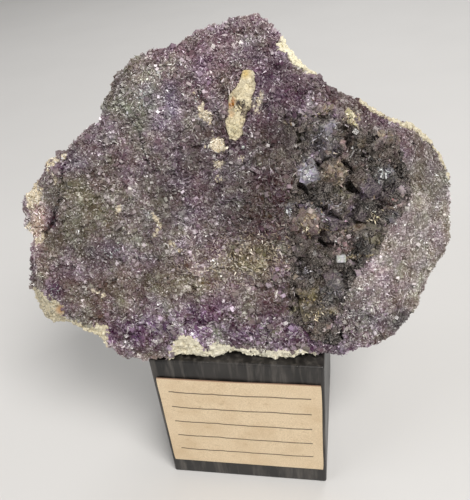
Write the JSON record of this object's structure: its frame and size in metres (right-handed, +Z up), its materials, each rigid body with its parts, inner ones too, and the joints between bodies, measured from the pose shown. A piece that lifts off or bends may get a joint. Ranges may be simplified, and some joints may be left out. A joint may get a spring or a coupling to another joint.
{
  "type": "fluorite specimen",
  "caption": "Lump of pale rock with a crust of tiny dark purple cube crystals and a hollow of larger ones, resting on a small black block with a cream paper label.",
  "frame": {"origin": "centre of the display block's bottom face", "axes": "+Z up, -Y out of the block's labelled face, which the specimen's front looks along as well"},
  "size_m": [0.0954, 0.0443, 0.1079],
  "materials": {
    "host_rock": "matte",
    "fluorite_crust": "satin",
    "hollow_crystals": "gloss",
    "display_block": "satin",
    "paper_label": "matte"
  },
  "bodies": {
    "root": {"host_rock": "host_rock", "fluorite_crust": "fluorite_crust", "hollow_crystals": "hollow_crystals", "display_block": "display_block", "paper_label": "paper_label"}
  },
  "joints": []
}
